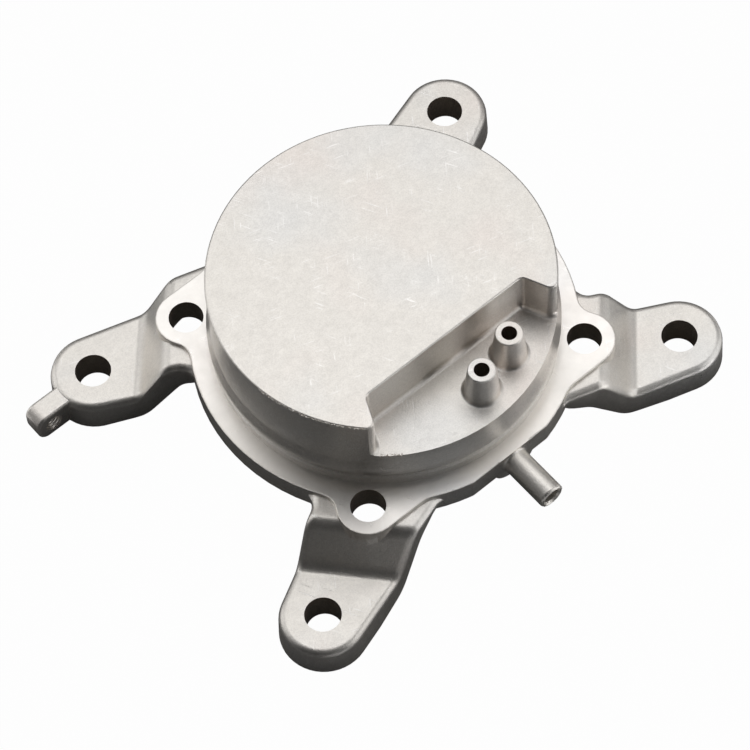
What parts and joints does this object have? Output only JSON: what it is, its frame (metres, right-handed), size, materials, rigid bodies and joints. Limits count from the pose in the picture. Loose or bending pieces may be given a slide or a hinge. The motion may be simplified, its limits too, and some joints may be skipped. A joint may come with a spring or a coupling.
{
  "type": "engine cover plate",
  "caption": "One-piece cast engine cover: a shallow round drum on an eared flange with splayed mounting arms, a stepped pocket with hose stubs, a side tube and a cable lug.",
  "frame": {"origin": "on the drum's axis, at the machined flange face", "axes": "+Z along the drum's axis out of its closed end, +X along the long side of the foot-bore rectangle, -Y towards the pocket and the side tube"},
  "size_m": [0.152, 0.1205, 0.0501],
  "materials": {
    "cast_aluminium": "satin as cast, with a milled flange face"
  },
  "bodies": {
    "root": {"cover_casting": "cast_aluminium"}
  },
  "joints": []
}
